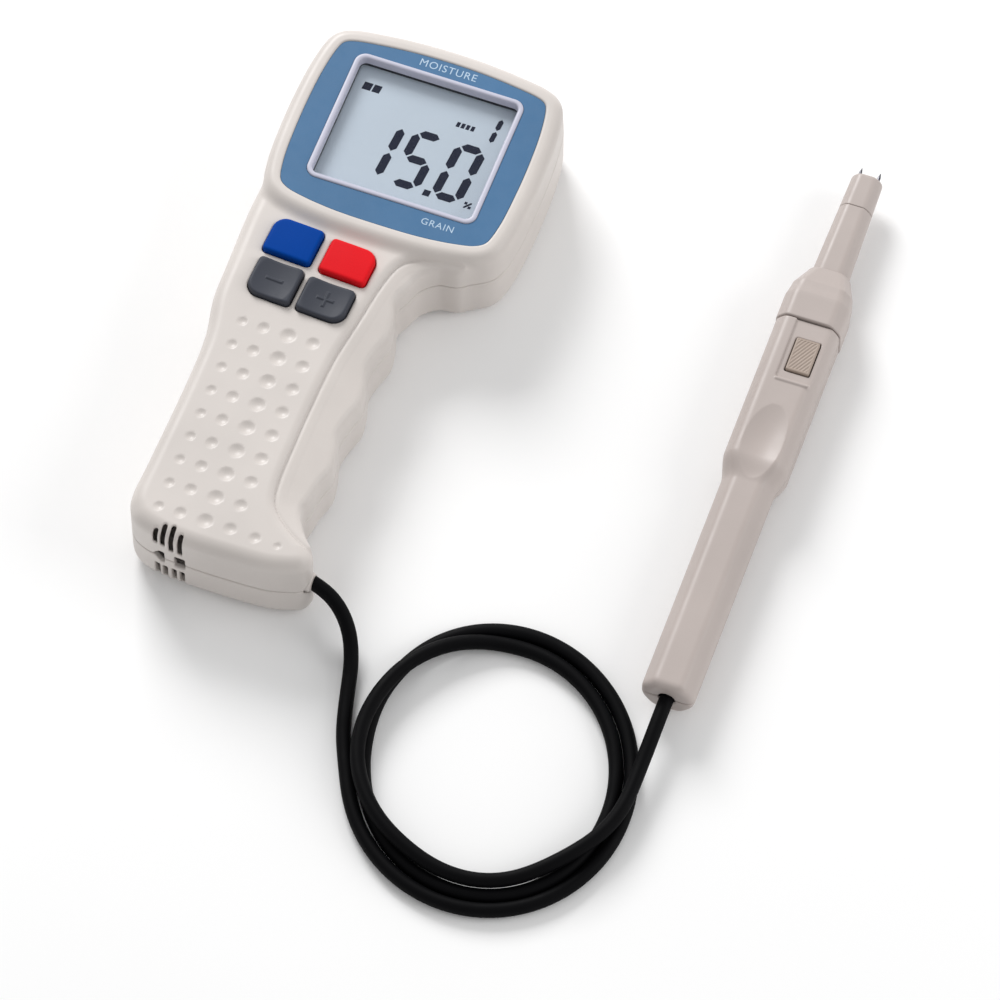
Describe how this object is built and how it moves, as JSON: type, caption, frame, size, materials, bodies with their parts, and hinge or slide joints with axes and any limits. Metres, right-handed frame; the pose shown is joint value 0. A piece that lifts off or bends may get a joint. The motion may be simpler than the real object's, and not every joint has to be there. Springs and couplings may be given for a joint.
{
  "type": "grain moisture meter",
  "caption": "Hand-held grain moisture meter with a display head, finger-scalloped grip and a needle probe on a coiled black cord",
  "frame": {"origin": "centre of the back case's flat, under the middle of the display, on the surface the meter lies on", "axes": "+Y from the grip towards the top of the head, +Z out of the display, +X to the finger side"},
  "size_m": [0.187, 0.2857, 0.0326],
  "materials": {
    "case": "fine satin moulding",
    "panel": "printed film, satin",
    "bezel": "printed frame, satin",
    "holder": "matt",
    "window": "clear lens",
    "lcd": "reflective display",
    "zebra": "matt",
    "board": "solder mask",
    "blue_key": "satin silicone",
    "red_key": "satin silicone",
    "grey_key": "satin silicone",
    "switch": "matt",
    "steel": "plated",
    "cell": "sleeved can",
    "box": "matt",
    "cord": "matt jacket",
    "probe": "fine satin moulding",
    "button": "ribbed, satin",
    "needle": "hardened needle",
    "brass": "turned brass"
  },
  "bodies": {
    "meter_and_probe": {"front_case": "case", "back_case": "case", "cord_bush": "case", "display_panel": "panel", "display_bezel": "bezel", "lcd_holder": "holder", "display_window": "window", "lcd_glass": "lcd", "lcd_connector": "zebra", "temperature_sensor": "zebra", "main_board": "board", "probe_board": "board", "switch_power": "switch", "switch_measure": "switch", "switch_minus": "switch", "switch_plus": "switch", "sensor_header": "switch", "probe_switch": "switch", "probe_cord_clamp": "switch", "case_screw_1": "steel", "case_screw_2": "steel", "case_screw_3": "steel", "case_screw_4": "steel", "board_screw_1": "steel", "board_screw_2": "steel", "contact_bridge": "steel", "contact_negative": "steel", "contact_positive": "steel", "probe_screw_1": "steel", "probe_screw_2": "steel", "battery_1": "cell", "battery_2": "cell", "battery_box": "box", "cord_lead_meter": "cord", "cord_coil": "cord", "cord_lead_probe": "cord", "inner_lead": "cord", "needle_wire_1": "cord", "needle_wire_2": "cord", "probe_upper_shell": "probe", "probe_lower_shell": "probe", "probe_nose": "probe", "probe_tube": "probe", "probe_tip": "probe", "needle_1": "needle", "needle_2": "needle", "needle_socket_1": "brass", "needle_socket_2": "brass"},
    "key_power": {"key_power": "blue_key"},
    "key_measure": {"key_measure": "red_key"},
    "key_minus": {"key_minus": "grey_key"},
    "key_plus": {"key_plus": "grey_key"},
    "probe_button": {"probe_button": "button"},
    "battery_cover": {"battery_cover": "case"}
  },
  "joints": [
    {"name": "key_power_press", "type": "slide", "parent": "meter_and_probe", "child": "key_power", "axis": [0, 0, -1], "range_m": [0, 0.0008], "stiffness_N_per_m": 600},
    {"name": "key_measure_press", "type": "slide", "parent": "meter_and_probe", "child": "key_measure", "axis": [0, 0, -1], "range_m": [0, 0.0008], "stiffness_N_per_m": 600},
    {"name": "key_minus_press", "type": "slide", "parent": "meter_and_probe", "child": "key_minus", "axis": [0, 0, -1], "range_m": [0, 0.0008], "stiffness_N_per_m": 600},
    {"name": "key_plus_press", "type": "slide", "parent": "meter_and_probe", "child": "key_plus", "axis": [0, 0, -1], "range_m": [0, 0.0008], "stiffness_N_per_m": 600},
    {"name": "probe_button_press", "type": "slide", "parent": "meter_and_probe", "child": "probe_button", "axis": [0, 0, -1], "range_m": [0, 0.0006], "stiffness_N_per_m": 500},
    {"name": "battery_cover_slide", "type": "slide", "parent": "meter_and_probe", "child": "battery_cover", "axis": [0, -1, 0], "range_m": [0, 0.0055]}
  ]
}
